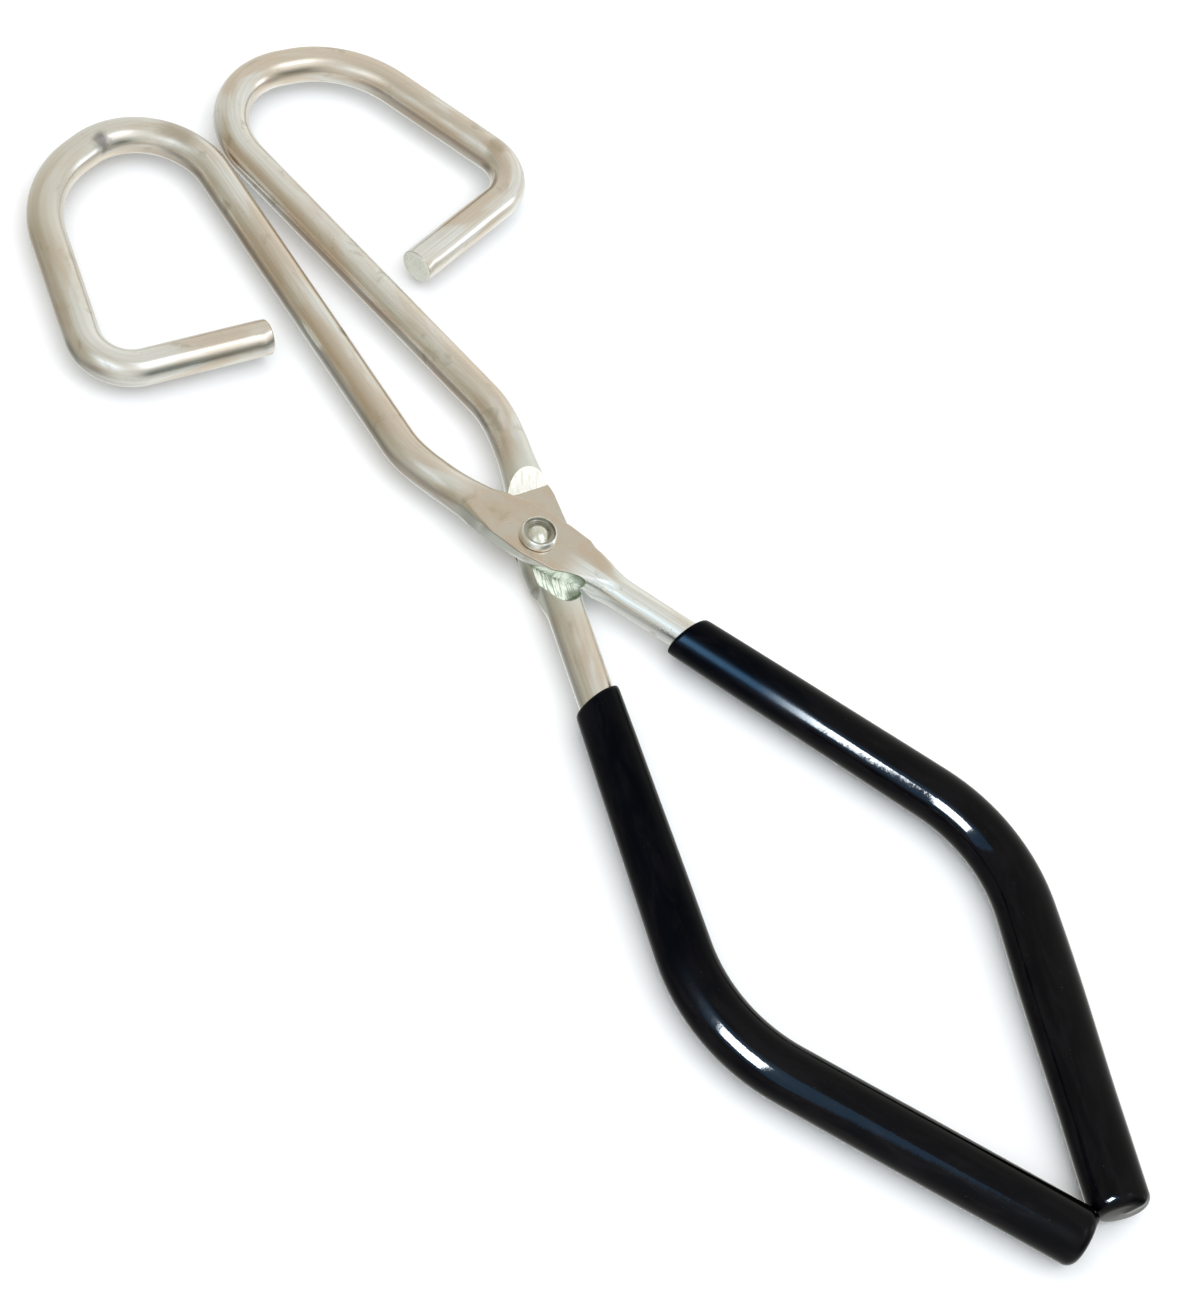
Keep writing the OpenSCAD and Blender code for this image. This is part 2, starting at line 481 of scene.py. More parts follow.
def add_tip(bm, bar, ring, along):
    """Sheared end of the jaw: a worn edge and a slightly dished face."""
    faces = []
    for back, inset in TIP_EDGE:
        radius = ROD_R - inset
        section = []
        for k in range(AROUND):
            turn = 2 * math.pi * k / AROUND
            worn = 1 + TIP_UNEVEN * noise.noise(Vector((2 * math.cos(turn), 2 * math.sin(turn), back)))
            section.append((radius * worn * math.cos(turn), radius * worn * math.sin(turn)))
        new = add_ring(bm, bar, arm_frame, along + back, section)
        faces += bridge(bm, ring, new)
        ring = new
    return faces[2 * AROUND:] + close_ring(bm, bar, ring, -TIP_HOLLOW, arm_frame, along)


def roughen_step(vert, bar, seed):
    """Small torn marks in the face of a step."""
    along, lateral, _ = vert[bar]
    marks = noise.noise(Vector((along * 3.1, lateral * 1.7, seed)))
    ridges = noise.noise(Vector((along * 0.4, lateral * 4.3, seed + 7)))
    vert.co.z += MARK_H * marks + RIDGE_H * ridges


def slant_step(vert, bar):
    """Shift a point along the rod so that the jaw-side step lies slantwise across it."""
    along, lateral, _ = vert[bar]
    shift = STEP_TILT * (lateral - STEP_TURNS_AT) * within(along, SLANT_STRETCH)
    turn = math.radians(SPLAY)
    vert.co += shift * Vector((math.cos(turn), math.sin(turn), 0))


def torn(face, bar):
    """True for a face of a step, or of the seat's torn part in front of the curved step."""
    middle = sum(v[bar].x for v in face.verts) / len(face.verts)
    if not -PUNCH_END < middle < STEP_AT + ROD_R + 0.3 or -TORN_FROM < middle < STEP_AT:
        return False
    return all(abs(v[bar].z - step_height(v[bar].x, v[bar].y)) < 1e-4 for v in face.verts)


def build_arm(name, build, hole_r, hole_side):
    """Mesh of one arm about the crossing, with its seat facing down."""
    bm, bar = new_mesh_layers()
    at, steps = arm_stations()
    tip = at[-1]
    rings = [add_ring(bm, bar, arm_frame, along, arm_section(along, build)) for along in at[:-1]]
    for i in range(len(rings) - 1):
        if steps[0] - 1e-6 <= at[i] and at[i + 1] <= steps[-1] + 1e-6:
            faces = split_step_row(bm, rings[i], rings[i + 1])
        else:
            faces = bridge(bm, rings[i], rings[i + 1])
        for face in faces:
            if torn(face, bar):
                face.material_index = 1
    for vert in bm.verts:
        if vert.link_faces and all(f.material_index == 1 for f in vert.link_faces):
            roughen_step(vert, bar, build.seed)
        slant_step(vert, bar)
    for face in add_tip(bm, bar, rings[-1], tip):
        face.material_index = 1
    close_ring(bm, bar, rings[0], -0.02, arm_frame, at[0])
    finish_mesh(bm)
    return drill(bm, name, hole_r, Vector((RIVET_OFF[0], hole_side * RIVET_OFF[1], 0)))


def drill(bm, name, radius, middle):
    """The same mesh with the rivet's hole cut through it."""
    blank = bpy.data.meshes.new(name + "_blank")
    bm.to_mesh(blank)
    bm.free()
    rod = bpy.data.objects.new(name + "_blank", blank)
    cutter_bm = bmesh.new()
    bmesh.ops.create_cone(
        cutter_bm, cap_ends=True, segments=64, radius1=radius, radius2=radius, depth=4 * FACE_Z,
        matrix=Matrix.Translation(middle))
    cutter_mesh = bpy.data.meshes.new(name + "_cutter")
    cutter_bm.to_mesh(cutter_mesh)
    cutter_bm.free()
    cutter = bpy.data.objects.new(name + "_cutter", cutter_mesh)
    for thing in (rod, cutter):
        bpy.context.scene.collection.objects.link(thing)
    cut = rod.modifiers.new("hole", "BOOLEAN")
    cut.operation = "DIFFERENCE"
    cut.solver = "EXACT"
    cut.object = cutter
    bpy.context.view_layer.update()
    evaluated = rod.evaluated_get(bpy.context.evaluated_depsgraph_get())
    drilled = bmesh.new()
    drilled.from_mesh(evaluated.to_mesh())
    evaluated.to_mesh_clear()
    for thing in (rod, cutter):
        bpy.data.objects.remove(thing)
    bar = drilled.verts.layers.float_vector["bar"]
    turn = Matrix.Rotation(-math.radians(SPLAY), 3, "Z")
    for vert in drilled.verts:
        if (vert.co - middle).xy.length < radius * 1.2:
            vert[bar] = turn @ vert.co
    finish_mesh(drilled)
    return drilled


# ---------------------------------------------------------------- rivet


def arc(centre_r, centre_z, radius, start, end, count):
    """Points of a round edge in a lathe profile."""
    turns = [math.radians(mix(start, end, i / count)) for i in range(count + 1)]
    return [(centre_r + radius * math.cos(t), centre_z + radius * math.sin(t)) for t in turns]


def cap_points(base_r, height, base_z, up, count):
    """Points of a domed cap from its middle to its rim; up is 1 or -1."""
    radius = (base_r ** 2 + height ** 2) / (2 * height)
    points = []
    for i in range(1, count + 1):
        r = base_r * i / count
        points.append((r, base_z + up * (height - radius + math.sqrt(radius ** 2 - r ** 2))))
    return points


def rivet_profile():
    """Lathe profile of the rivet, from the middle of the set head down to the peened end."""
    floor_z = SET_HEAD_TOP - RECESS_H
    rim_in = SET_HEAD_R - RIM_W
    fillet = 0.14
    rim_edge = 0.03
    under_edge = 0.12
    profile = cap_points(DOME_R, RECESS_H - DOME_BELOW_RIM, floor_z, 1, 10)
    profile += [(DOME_R + 0.12, floor_z - 0.05)]
    profile += arc(rim_in - fillet, floor_z + 0.1, fillet, -90, 0, 4)
    profile += arc(rim_in + rim_edge, SET_HEAD_TOP - 0.1, rim_edge, 180, 90, 3)
    profile += [(SET_HEAD_R + out, SET_HEAD_TOP + up) for out, up in SHOULDER]
    profile += arc(SET_HEAD_R - under_edge, SET_HEAD_Z + under_edge, under_edge, 0, -90, 3)
    profile += [(SHANK_R + 0.1, SET_HEAD_Z), (SHANK_R, SET_HEAD_Z - 0.1)]
    profile += [(SHANK_R, 1.5), (SHANK_R, 0.0), (SHANK_R, -1.5), (SHANK_R, -FACE_Z)]
    profile += [(PEENED_R - 0.05, -FACE_Z - 0.005)]
    below = cap_points(PEENED_R, PEENED_H, -FACE_Z - 0.03, -1, 12)
    return profile + list(reversed(below)), below[0][1] - 0.01


def build_rivet():
    """Turned rivet with a set head on top and a low peened end below."""
    bm, bar = new_mesh_layers()
    profile, bottom = rivet_profile()
    rings = []
    for radius, height in profile:
        ring = []
        for k in range(RIVET_AROUND):
            turn = 2 * math.pi * k / RIVET_AROUND
            uneven = noise.noise(Vector((1.2 * math.cos(turn), 1.2 * math.sin(turn), 0.3 * height)))
            r = radius * (1 + RIVET_UNEVEN * uneven * smooth(abs(height) - FACE_Z))
            lift = RIM_LIFT * uneven * smooth((height - SET_HEAD_Z) / 1.2)
            spot_at = Vector((r * math.cos(turn), r * math.sin(turn), height + lift))
            vert = bm.verts.new(spot_at + Vector((*RIVET_OFF, 0)))
            vert[bar] = spot_at
            ring.append(vert)
        rings.append(ring)
    for low, high in zip(rings, rings[1:]):
        bridge(bm, low, high)
    for ring, height in ((rings[0], SET_HEAD_TOP - DOME_BELOW_RIM), (rings[-1], bottom)):
        middle = bm.verts.new((*RIVET_OFF, height))
        middle[bar] = (0, 0, height)
        close_fan(bm, ring, middle)
    finish_mesh(bm, sharp=50)
    return bm


# ---------------------------------------------------------------- grips


def grip_radius(along):
    """Outer radius of the coating, which thickens quickly behind the lip."""
    t = clamp01((along - LIP_AT) / (run_length(coating) - LIP_AT))
    return mix(LIP_R, END_R, 1 - (1 - t) ** 2)


def grip_profile():
    """(distance, radius) from the bore's end, out over the lip, to the coating's end."""
    rod_end = run_length(handle) + 0.05
    length = run_length(coating)
    inside = [s for s in stations(handle) if LIP_AT + 1.0 < s < rod_end - 1.0]
    profile = [(rod_end, 1.6), (rod_end, BORE_R)]
    profile += [(s, BORE_R) for s in reversed(inside)]
    profile += [(LIP_AT + 0.35, BORE_R)]
    for i in range(1, 9):
        turn = math.radians(-90 + 180 * i / 9 - 10)
        out = (1 + math.sin(turn)) / 2
        profile.append((LIP_AT + LIP_EDGE - LIP_EDGE * math.cos(turn), mix(BORE_R, LIP_R, out)))
    start = LIP_AT + 0.7
    body_end = length - END_EDGE
    profile += [(start, grip_radius(start))]
    profile += [(s, grip_radius(s)) for s in stations(coating) if start + 0.8 < s < body_end - 0.8]
    for i in range(11):
        turn = math.radians(9 * i)
        profile.append((body_end + END_EDGE * math.sin(turn), END_R - END_EDGE * (1 - math.cos(turn))))
    profile += [(length + 0.05, 1.7), (length + 0.08, 0.8)]
    return profile


def nub_height(turn, nub_turn, radius, along):
    """Height of the drip nub at a point of the coating's end."""
    near = (turn - nub_turn + math.pi) % (2 * math.pi) - math.pi
    behind = along - run_length(coating) + NUB_BACK
    return NUB_H * math.exp(-((near * radius / NUB_W) ** 2) - (behind / NUB_L) ** 2)


def grip_ring(bm, bar, along, radius, outside, seed, nub_turn, swell):
    """Ring of the coating at a distance: swaying and swollen outside, plain in the bore."""
    length = run_length(coating)
    point, left = grip_frame(min(along, length))
    back = Vector((left.y, -left.x, 0))
    ahead = Vector((left.y, -left.x)) * (along - min(along, length))
    ring = []
    for k in range(GRIP_AROUND):
        turn = 2 * math.pi * k / GRIP_AROUND
        around = Vector((math.cos(turn), math.sin(turn)))
        r = radius
        if outside:
            sway = noise.noise(Vector((along / 13, 0.9 * around.x + seed, 0.9 * around.y)))
            r += COATING_SWAY * sway * smooth((along - LIP_AT) / 6) + swell * hump(along, *SWELLING)
        place_at = to_space(point + ahead, left, r * around.x, r * around.y)
        square = math.tan(math.radians(SPLAY)) * (1 - smooth((along - LIP_AT - 1) / LIP_BLEND))
        place_at += back * (r * around.x * square)
        if outside and along > length - 3:
            bump = nub_height(turn, nub_turn, r, along)
            place_at += back * bump
            place_at += Vector((left.x * around.x, left.y * around.x, around.y)) * bump * 0.3
        vert = bm.verts.new(place_at)
        vert[bar] = (along, r * around.x, r * around.y)
        ring.append(vert)
    return ring


def build_grip(seed, nub_turn, lip_shift, swell):
    """Dipped coating of one handle, as a closed shell around the rod."""
    bm, bar = new_mesh_layers()
    rings = []
    for along, radius in grip_profile():
        outside = radius > BORE_R + 0.1 or along > run_length(handle) + 0.5
        along += lip_shift * (1 - smooth((along - LIP_AT) / LIP_BLEND))
        rings.append(grip_ring(bm, bar, along, radius, outside, seed, nub_turn, swell))
    for low, high in zip(rings, rings[1:]):
        bridge(bm, low, high)
    for ring in (rings[0], rings[-1]):
        middle = bm.verts.new(sum((v.co for v in ring), Vector()) / GRIP_AROUND)
        middle[bar] = sum((v[bar] for v in ring), Vector()) / GRIP_AROUND
        close_fan(bm, ring, middle)
    finish_mesh(bm, sharp=50)
    return bm


# ---------------------------------------------------------------- materials


class Graph:
    """Short calls that add and link the nodes of one material or world."""

    def __init__(self, tree):
        self.tree = tree
        tree.nodes.clear()

    def add(self, kind, inputs=None, **settings):
        node = self.tree.nodes.new(kind)
        for name, value in settings.items():
            setattr(node, name, value)
        for name, value in (inputs or {}).items():
            if isinstance(value, bpy.types.NodeSocket):
                self.tree.links.new(value, node.inputs[name])
            else:
                node.inputs[name].default_value = value
        return node

    def math(self, operation, a, b=0.0):
        return self.add("ShaderNodeMath", {0: a, 1: b}, operation=operation).outputs[0]

    def scaled(self, vector, scale):
        node = self.add("ShaderNodeMapping", {"Vector": vector, "Scale": scale})
        return node.outputs[0]

    def noise(self, vector, scale, detail=3.0, roughness=0.5, distortion=0.0):
        inputs = {"Vector": vector, "Scale": scale, "Detail": detail,
                  "Roughness": roughness, "Distortion": distortion}
        return self.add("ShaderNodeTexNoise", inputs).outputs["Fac"]

    def range(self, value, low, high, to_low=0.0, to_high=1.0):
        inputs = {0: value, 1: low, 2: high, 3: to_low, 4: to_high}
        return self.add("ShaderNodeMapRange", inputs, interpolation_type="SMOOTHSTEP").outputs[0]

    def blend(self, factor, a, b):
        node = self.add("ShaderNodeMix", {0: factor, 6: a, 7: b}, data_type="RGBA")
        return node.outputs[2]

    def vector(self, operation, a, b, output="Vector"):
        return self.add("ShaderNodeVectorMath", {0: a, 1: b}, operation=operation).outputs[output]

    def separate(self, vector):
        return self.add("ShaderNodeSeparateXYZ", {0: vector}).outputs

    def surface(self, inputs):
        """Principled shader with these inputs, as the material's surface."""
        shader = self.add("ShaderNodeBsdfPrincipled", inputs)
        self.add("ShaderNodeOutputMaterial", {"Surface": shader.outputs[0]})

    def bump(self, height, strength, distance, normal=None):
        inputs = {"Height": height, "Strength": strength, "Distance": distance}
        if normal is not None:
            inputs["Normal"] = normal
        return self.add("ShaderNodeBump", inputs).outputs[0]


def colour(r, g, b):
    return (r, g, b, 1.0)


def new_material(name):
    material = bpy.data.materials.new(name)
    material.use_nodes = True
    return material, Graph(material.node_tree)


def bar_vector(graph):
    """Place on the straightened rod, in millimetres: along, across and up."""
    return graph.add("ShaderNodeAttribute", attribute_name="bar").outputs["Vector"]


def spot(graph, bar, centre, radius):
    """1 inside a soft ragged spot round a point of the straightened rod, 0 outside."""
    shake = graph.add("ShaderNodeTexNoise", {"Vector": bar, "Scale": 0.8, "Detail": 3.0}).outputs["Color"]
    moved = graph.vector("ADD", bar, graph.vector("MULTIPLY", shake, (2.0, 2.0, 2.0)))
    target = tuple(c + 1.0 for c in centre)
    away = graph.vector("DISTANCE", moved, target, "Value")
    return graph.range(away, radius * 0.25, radius, 1.0, 0.0)


def drawn_tone(g, bar, streaks, marked):
    """Colour of the drawn rod: pale with warm patches, and dull streaks along it."""
    patches = g.noise(g.scaled(bar, (0.05, 0.22, 0.22)), 1.0, 3.0, 0.55, 0.6)
    tone = g.blend(g.range(patches, 0.38, 0.62), colour(0.88, 0.88, 0.86), colour(0.75, 0.65, 0.55))
    dull = g.math("MULTIPLY", g.range(streaks, 0.42, 0.66, 0.0, 0.34), marked)
    return g.blend(dull, tone, colour(0.56, 0.54, 0.49))


def lap_tone(g, parts, clouds):
    """Colour of the forged lap: tan on its face and its seat, pale greenish grey on its walls."""
    tanned = g.blend(g.range(clouds, 0.36, 0.62), colour(0.66, 0.60, 0.52), colour(0.66, 0.55, 0.44))
    off_seat = g.math("ABSOLUTE", g.math("SUBTRACT", parts[2], SEAT_Z))
    on_seat = g.range(off_seat, 0.03, 0.08, 1.0, 0.0)
    on_top = g.math("MAXIMUM", g.range(parts[2], 2.35, 2.75), on_seat)
    return g.blend(on_top, colour(0.76, 0.79, 0.74), tanned)


def painted_highlight_tone(g, streaks):
    """Painted highlight on one side of the neck: bright and a little blue, streaked along the rod."""
    return g.blend(g.range(streaks, 0.42, 0.60), colour(0.98, 1.0, 1.0), colour(0.80, 0.86, 0.88))


def soiled_and_shaded(g, bar, tone, clouds, stains_and_shade):
    """The same colour with brown clouds, dark specks, stained spots and patches of painted shade."""
    specks = g.noise(bar, 2.6, 4.0, 0.7)
    tone = g.blend(g.range(clouds, 0.60, 0.74, 0.0, 0.5), tone, colour(0.46, 0.42, 0.34))
    tone = g.blend(g.range(specks, 0.64, 0.74, 0.0, 0.65), tone, colour(0.20, 0.19, 0.16))
    for centre, radius, dark, strength in stains_and_shade:
        amount = g.math("MULTIPLY", spot(g, bar, centre, radius), strength)
        tone = g.blend(amount, tone, dark)
    return tone


def plated_steel(name, stains_and_shade, neck_highlight):
    """Bright plated rod: drawing marks along it, warm patches, specks, stained spots and patches of
    painted shade, and a painted highlight along one side of the neck.
    """
    material, g = new_material(name)
    bar = bar_vector(g)
    parts = g.separate(bar)
    lap = g.range(g.math("ABSOLUTE", parts[0]), 9.0, 17.0, 1.0, 0.0)
    # Painted highlight: from the lap back along the handle, one side of the rod is painted bright and a
    # little blue
    neck = g.math("MULTIPLY", g.range(parts[0], -9.0, -3.5, 1.0, 0.0), neck_highlight)
    neck = g.math("MULTIPLY", neck, g.range(parts[1], 0.1, 0.9))
    streaks = g.noise(g.scaled(bar, (0.035, 2.4, 2.4)), 1.0, 5.0, 0.6)
    fine = g.noise(g.scaled(bar, (0.12, 7.0, 7.0)), 1.0, 3.0, 0.6)
    clouds = g.noise(bar, 0.28, 3.0, 0.55, 0.4)
    marked = g.math("SUBTRACT", 1.0, g.math("MULTIPLY", lap, 0.85))
    tone = g.blend(lap, drawn_tone(g, bar, streaks, marked), lap_tone(g, parts, clouds))
    tone = g.blend(neck, tone, painted_highlight_tone(g, streaks))
    tone = soiled_and_shaded(g, bar, tone, clouds, stains_and_shade)
    rough = g.math("ADD", g.range(streaks, 0.3, 0.7, 0.15, 0.26), g.range(fine, 0.3, 0.7, -0.02, 0.05))
    height = g.math("ADD", g.math("MULTIPLY", streaks, 0.6), g.math("MULTIPLY", fine, 0.4))
    normal = g.bump(g.math("MULTIPLY", height, marked), 0.12, 0.00004)
    normal = g.bump(g.noise(bar, 0.7, 2.0, 0.5), 0.10, 0.0001, normal)
    g.surface({"Base Color": tone, "Roughness": rough, "Normal": normal, "Metallic": 1.0})
    return material


def sheared_steel(name):
    """Torn face of a step or a cut end: bare and hatched, with painted shade low on the curved step and in
    a patch at its far side.
    """
    material, g = new_material(name)
    bar = bar_vector(g)
    parts = g.separate(bar)
    ridges = g.noise(g.scaled(bar, (0.4, 3.6, 0.4)), 1.0, 2.0, 0.5, 0.2)
    grain = g.noise(bar, 5.0, 3.0, 0.7)
    jaw_step = g.blend(g.range(ridges, 0.50, 0.72), colour(1.0, 0.99, 0.96), colour(0.84, 0.80, 0.70))
    punched = g.blend(g.range(ridges, 0.48, 0.60), colour(0.94, 1.0, 0.92), colour(0.40, 0.48, 0.38))
    # Painted shade: the low part of the curved step is painted near black green
    wall_shade = g.range(parts[2], -0.8, -0.1, 1.0, 0.0)
    punched = g.blend(g.math("MULTIPLY", wall_shade, 0.85), punched, colour(0.06, 0.08, 0.04))
    # Painted shade: a dark green patch at the far side of the punched seat, behind the step
    corner_shade = g.math("MULTIPLY", g.range(parts[0], -9.1, -7.9, 1.0, 0.0), g.range(parts[1], 0.3, 1.5))
    punched = g.blend(g.math("MULTIPLY", corner_shade, 0.8), punched, colour(0.08, 0.12, 0.05))
    tip = g.blend(g.range(grain, 0.40, 0.62), colour(0.92, 0.94, 0.88), colour(0.72, 0.74, 0.66))
    tone = g.blend(g.range(parts[0], -0.5, 0.5), punched, jaw_step)
    tone = g.blend(g.range(parts[0], 30.0, 40.0), tone, tip)
    rough = g.range(grain, 0.3, 0.7, 0.38, 0.56)
    normal = g.bump(ridges, 0.6, 0.0002)
    normal = g.bump(grain, 0.4, 0.0001, normal)
    g.surface({"Base Color": tone, "Roughness": rough, "Normal": normal, "Metallic": 0.2})
    return material


def rivet_steel(name):
    """Plated rivet with turned tool marks round its head, painted shade in the recess round its dome and a
    painted highlight on its rim.
    """
    material, g = new_material(name)
    bar = bar_vector(g)
    parts = g.separate(bar)
    squares = [g.math("MULTIPLY", part, part) for part in (parts[0], parts[1])]
    radius = g.math("SQRT", g.math("ADD", squares[0], squares[1]))
    rings = g.add("ShaderNodeCombineXYZ", {0: radius, 1: 0.0, 2: parts[2]}).outputs[0]
    turned = g.noise(rings, 9.0, 2.0, 0.6)
    cloud = g.noise(bar, 0.8, 3.0, 0.6)
    tone = g.blend(g.range(cloud, 0.38, 0.62), colour(0.90, 0.91, 0.88), colour(0.72, 0.72, 0.60))
    rim_in = SET_HEAD_R - RIM_W
    # Painted shade: the recess between the dome and the rim is painted dark
    past_dome = g.range(radius, DOME_R - 0.1, DOME_R + 0.1)
    inside_rim = g.range(radius, rim_in - 0.02, rim_in + 0.08, 1.0, 0.0)
    groove_shade = g.math("MULTIPLY", past_dome, inside_rim)
    tone = g.blend(g.math("MULTIPLY", groove_shade, 0.75), tone, colour(0.27, 0.25, 0.20))
    # Painted highlight: the outer edge of the head is painted near white
    tone = g.blend(g.range(radius, SET_HEAD_R - 0.5, SET_HEAD_R - 0.35), tone, colour(0.98, 0.98, 0.96))
    rough = g.range(turned, 0.3, 0.7, 0.12, 0.24)
    normal = g.bump(turned, 0.3, 0.00008)
    normal = g.bump(cloud, 0.3, 0.0002, normal)
    g.surface({"Base Color": tone, "Roughness": rough, "Normal": normal, "Metallic": 1.0})
    return material


def dipped_vinyl(name, gloss_and_tint_end):
    """Glossy black coating: duller up to the given end, with its reflection there dimmed and tinted blue
    as a painted blue cast, and with peel, rub marks and dust.
    """
    material, g = new_material(name)
    bar = bar_vector(g)
    peel = g.noise(bar, 0.5, 2.0, 0.5)
    rub = g.noise(g.scaled(bar, (0.12, 0.5, 0.5)), 1.0, 4.0, 0.6, 0.5)
    dust = g.noise(bar, 3.4, 2.0, 0.6)
    tone = g.blend(g.range(rub, 0.4, 0.65), colour(0.0002, 0.0002, 0.0003), colour(0.0006, 0.0005, 0.0006))
    tone = g.blend(g.range(dust, 0.74, 0.80, 0.0, 0.5), tone, colour(0.02, 0.02, 0.022))
    along = g.separate(bar)[0]
    fresh = g.range(along, gloss_and_tint_end - 14, gloss_and_tint_end, 0.28, 0.06)
    marks = g.math("ADD", g.range(rub, 0.4, 0.7, 0.0, 0.02), g.range(dust, 0.7, 0.8, 0.0, 0.2))
    rough = g.math("ADD", fresh, marks)
    # Painted reflection colour: the specular tint dims the mirrored light and tints it blue up to the end,
    # standing in for a bluish light
    shown = g.range(along, gloss_and_tint_end - 16, gloss_and_tint_end)
    painted_blue_cast = g.blend(shown, colour(0.04, 0.09, 0.15), colour(1.0, 1.0, 1.0))
    normal = g.bump(peel, 0.05, 0.0003)
    normal = g.bump(dust, 0.05, 0.0001, normal)
    g.surface({
        "Base Color": tone, "Roughness": rough, "Normal": normal,
        "IOR": 1.33, "Specular IOR Level": 0.2, "Specular Tint": painted_blue_cast})
    return material


def floor_paint(name):
    """Plain pale floor with the faintest mottling."""
    material, g = new_material(name)
    place_at = g.add("ShaderNodeTexCoord").outputs["Object"]
    tone = g.blend(g.noise(place_at, 6.0), colour(0.90, 0.915, 0.955), colour(0.92, 0.935, 0.975))
    g.surface({"Base Color": tone, "Roughness": 0.9})
    return material


# ---------------------------------------------------------------- pieces


def add_piece(name, bm, node, body, materials, turned):
    """Object that stands for a CAD node, riding on its body, with its materials."""
    piece = make_object(name, bm, turned)
    for material in materials:
        piece.data.materials.append(material)
    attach(piece, body)
    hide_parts(node)
    return piece


# Stained spots of each arm's steel, and on the upper arm a broad patch of painted shade: (place on the
# straightened rod, radius, colour, strength)
UPPER_STAINS_AND_SHADE = [
    ((104.5, 1.6, 2.2), 2.3, colour(0.08, 0.09, 0.14), 0.95),
    ((91.0, -0.8, 2.6), 5.0, colour(0.46, 0.39, 0.31), 0.7),
    ((47.0, -2.0, 2.0), 1.5, colour(0.25, 0.22, 0.16), 0.7),
    # Painted shade: a broad darkening over the upper loop, not a stain
    ((118.0, 0.0, 0.0), 32.0, colour(0.66, 0.60, 0.50), 0.45),
]
LOWER_STAINS = [
    ((146.0, 0.0, -3.0), 2.6, colour(0.42, 0.33, 0.22), 0.6),
    ((60.0, 2.0, -2.0), 1.2, colour(0.30, 0.27, 0.20), 0.5),
]

# The rivet fits more tightly in the lower arm, by this much of the hole's radius
LOWER_HOLE_LESS = 0.05


def add_arms():
    sheared = sheared_steel("sheared_steel")
    upper = Build(lap_shift=0.0, neck_sway=0.42, neck_r=2.4, rear_sway=0.12, seed=1.0)
    lower = Build(lap_shift=-1.0, neck_sway=0.40, neck_r=2.85, rear_sway=0.0, seed=5.0)
    # The upper arm's steel has the painted highlight on its neck at 0.9, the lower arm's has none
    add_piece("upper_rod", build_arm("upper_rod", upper, HOLE_R, 1), "upper_arm", "upper_half",
              [plated_steel("upper_steel", UPPER_STAINS_AND_SHADE, 0.9), sheared], False)
    add_piece("lower_rod", build_arm("lower_rod", lower, HOLE_R - LOWER_HOLE_LESS, -1),
              "lower_arm", "lower_half",
              [plated_steel("lower_steel", LOWER_STAINS, 0.0), sheared], True)


def add_rivet():
    add_piece("rivet", build_rivet(), "pivot_rivet", "lower_half",
              [rivet_steel("rivet_steel")], False)


def add_coatings():
    upper = build_grip(seed=2.0, nub_turn=1.0, lip_shift=-0.8, swell=0.22)
    lower = build_grip(seed=9.0, nub_turn=4.0, lip_shift=1.1, swell=0.0)
    add_piece("upper_coating", upper, "upper_grip", "upper_half",
              [dipped_vinyl("upper_vinyl", 54.0)], False)
    add_piece("lower_coating", lower, "lower_grip", "lower_half",
              [dipped_vinyl("lower_vinyl", 84.0)], True)


# ---------------------------------------------------------------- studio

FLOOR_HALF = 1.6
CAMERA_AIM = Vector((-3.305, 4.05, 4.45)) * MM
CAMERA_AZIMUTH = 210.99
CAMERA_ELEVATION = 55.71
CAMERA_ROLL = 24.33
CAMERA_DISTANCE = 439.6 * MM
CAMERA_LENS = 82.95
CAMERA_SENSOR = 36.0


def direction(azimuth, elevation):
    """Unit vector from the tongs towards a place seen at that azimuth and elevation."""
    a, e = math.radians(azimuth), math.radians(elevation)
    return Vector((math.sin(a) * math.cos(e), -math.cos(a) * math.cos(e), math.sin(e)))


def add_camera():
    data = bpy.data.cameras.new("camera")
    data.lens = CAMERA_LENS
    data.sensor_width = CAMERA_SENSOR
    data.clip_start, data.clip_end = 0.01, 10.0
    camera = bpy.data.objects.new("camera", data)
    bpy.context.scene.collection.objects.link(camera)
    back = direction(CAMERA_AZIMUTH, CAMERA_ELEVATION)
    camera.location = CAMERA_AIM + back * CAMERA_DISTANCE
    camera.rotation_mode = "QUATERNION"
    roll = Quaternion((0, 0, 1), math.radians(CAMERA_ROLL))
    camera.rotation_quaternion = (-back).to_track_quat("-Z", "Y") @ roll
    bpy.context.scene.camera = camera


def add_panel(name, azimuth, elevation, distance, size, power, tint, glossy=True, lit=None):
    """Soft rectangular light that faces the tongs, or lights only the pieces of one collection."""
    data = bpy.data.lights.new(name, "AREA")
    data.shape = "RECTANGLE"
    data.size, data.size_y = size
    data.energy = power
    data.color = tint
    panel = bpy.data.objects.new(name, data)
    bpy.context.scene.collection.objects.link(panel)
    back = direction(azimuth, elevation)
    panel.location = back * distance
    panel.rotation_mode = "QUATERNION"
    panel.rotation_quaternion = (-back).to_track_quat("-Z", "Y")
    panel.visible_camera = False
    panel.visible_glossy = glossy
    if lit:
        panel.light_linking.receiver_collection = lit


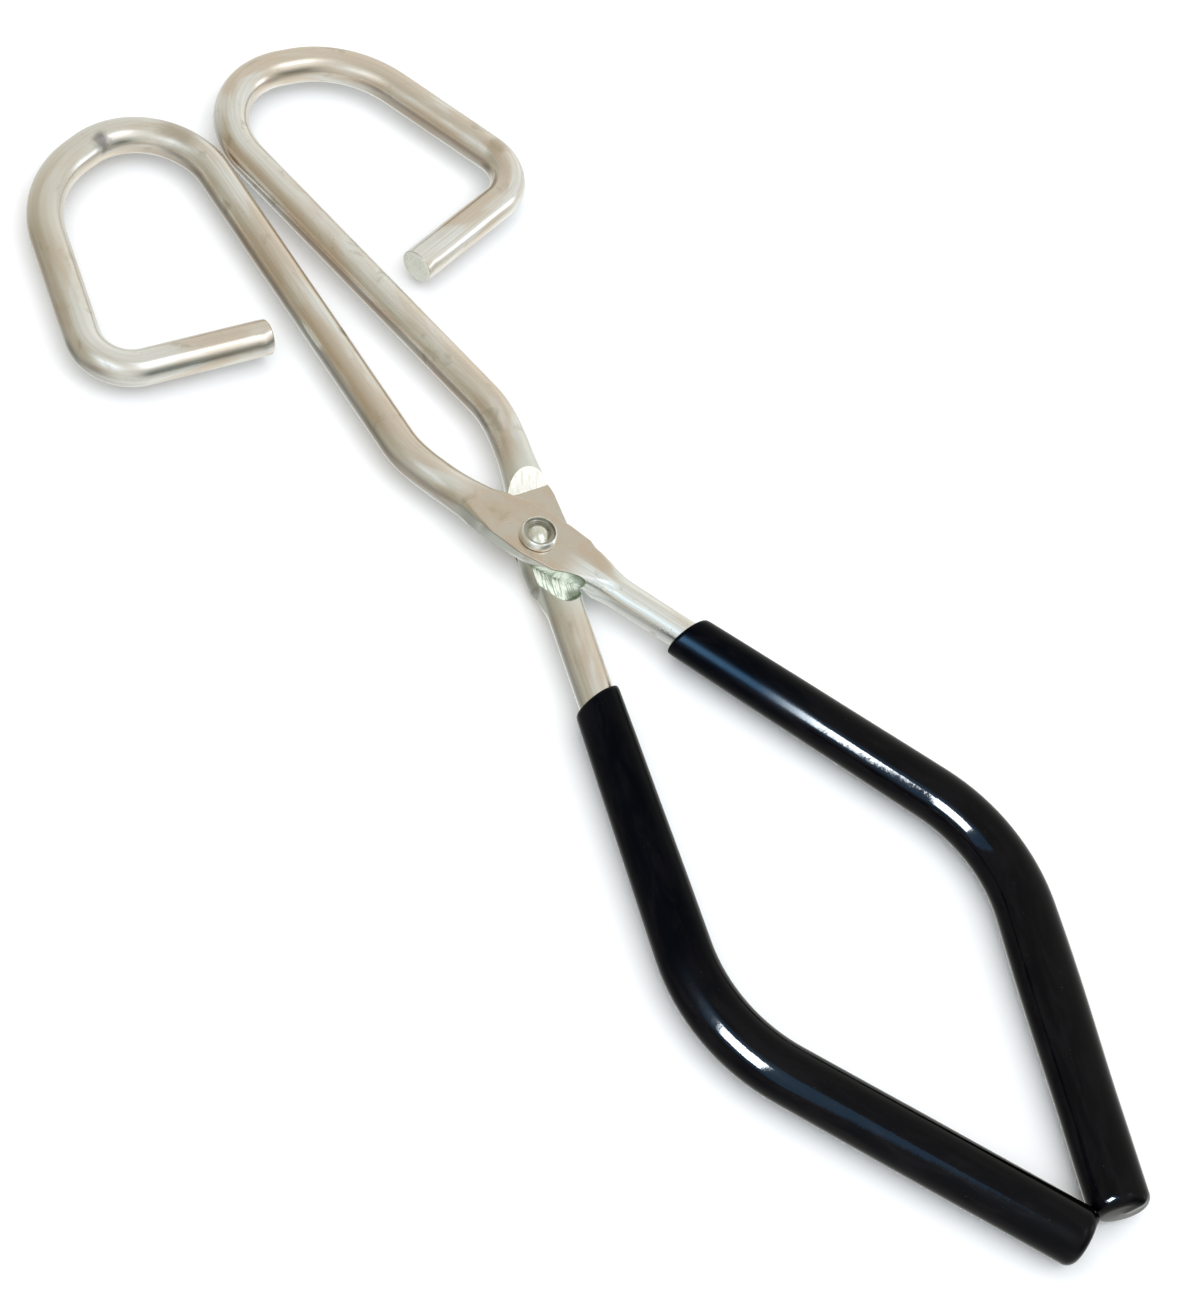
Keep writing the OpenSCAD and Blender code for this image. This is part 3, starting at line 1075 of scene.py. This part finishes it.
# Light of the room, and the brighter and darker patches in it that the steel mirrors:
# (azimuth, elevation, half width, change of colour)
ROOM_TONE = (0.82, 0.825, 0.78)
ROOM_PATCHES = [
    (150, 20, 56, (-0.36, -0.40, -0.45)),
    (140, -34, 26, (-0.40, -0.40, -0.37)),
    (193, -20, 24, (-0.34, -0.34, -0.30)),
    (206, 44, 18, (0.50, 0.60, 0.70)),
    (191, 56, 11, (0.26, 0.32, 0.38)),
    (277, 8, 22, (-0.66, -0.63, -0.60)),
    (284, 50, 15, (0.55, 0.60, 0.66)),
    (300, 63, 9, (1.50, 1.70, 2.00)),
    (322, 13, 8, (1.60, 1.85, 2.20)),
    (330, -50, 26, (0.36, 0.38, 0.40)),
    (303, -14, 14, (-0.36, -0.34, -0.30)),
    (56, -66, 12, (0.45, 0.45, 0.42)),
    (130, -72, 32, (-0.22, -0.22, -0.20)),
    (22, 12, 16, (0.16, 0.15, 0.12)),
]


def add_room():
    """Soft room light: pale, with a warm wall, windows, a lamp and darker corners."""
    world = bpy.data.worlds.new("room")
    world.use_nodes = True
    bpy.context.scene.world = world
    g = Graph(world.node_tree)
    look = g.add("ShaderNodeTexCoord").outputs["Generated"]
    total = None
    for azimuth, elevation, half_width, change in ROOM_PATCHES:
        towards = tuple(direction(azimuth, elevation))
        facing = g.vector("DOT_PRODUCT", look, towards, "Value")
        sharpness = 1 / (1 - math.cos(math.radians(half_width)))
        amount = g.math("EXPONENT", g.math("MULTIPLY", g.math("SUBTRACT", facing, 1.0), sharpness))
        tinted = g.add("ShaderNodeVectorMath", {0: change, "Scale": amount}, operation="SCALE").outputs[0]
        total = g.vector("ADD", tinted, ROOM_TONE if total is None else total)
    background = g.add("ShaderNodeBackground", {"Color": total})
    g.add("ShaderNodeOutputWorld", {"Surface": background.outputs[0]})


def add_floor():
    bm = bmesh.new()
    bmesh.ops.create_grid(bm, x_segments=1, y_segments=1, size=FLOOR_HALF)
    mesh = bpy.data.meshes.new("floor")
    bm.to_mesh(mesh)
    bm.free()
    floor = bpy.data.objects.new("floor", mesh)
    bpy.context.scene.collection.objects.link(floor)
    floor.data.materials.append(floor_paint("floor_paint"))
    floor.visible_glossy = False


def add_studio():
    add_floor()
    add_room()
    coatings = bpy.data.collections.new("coatings")
    for name in ("upper_coating", "lower_coating"):
        coatings.objects.link(bpy.data.objects[name])
    add_panel("overhead", azimuth=200, elevation=80, distance=1.2, size=(1.6, 1.6),
              power=12.0, tint=(1.0, 1.0, 1.0), glossy=False)
    add_panel("window", azimuth=190, elevation=36, distance=1.0, size=(0.34, 0.48),
              power=110.0, tint=(0.86, 0.94, 1.0), lit=coatings)
    add_panel("window_glow", azimuth=190, elevation=37, distance=1.1, size=(0.9, 1.0),
              power=12.0, tint=(0.15, 0.50, 1.0), lit=coatings)
    add_camera()
    bpy.context.scene.view_settings.view_transform = "Standard"


add_arms()
add_rivet()
add_coatings()
add_studio()
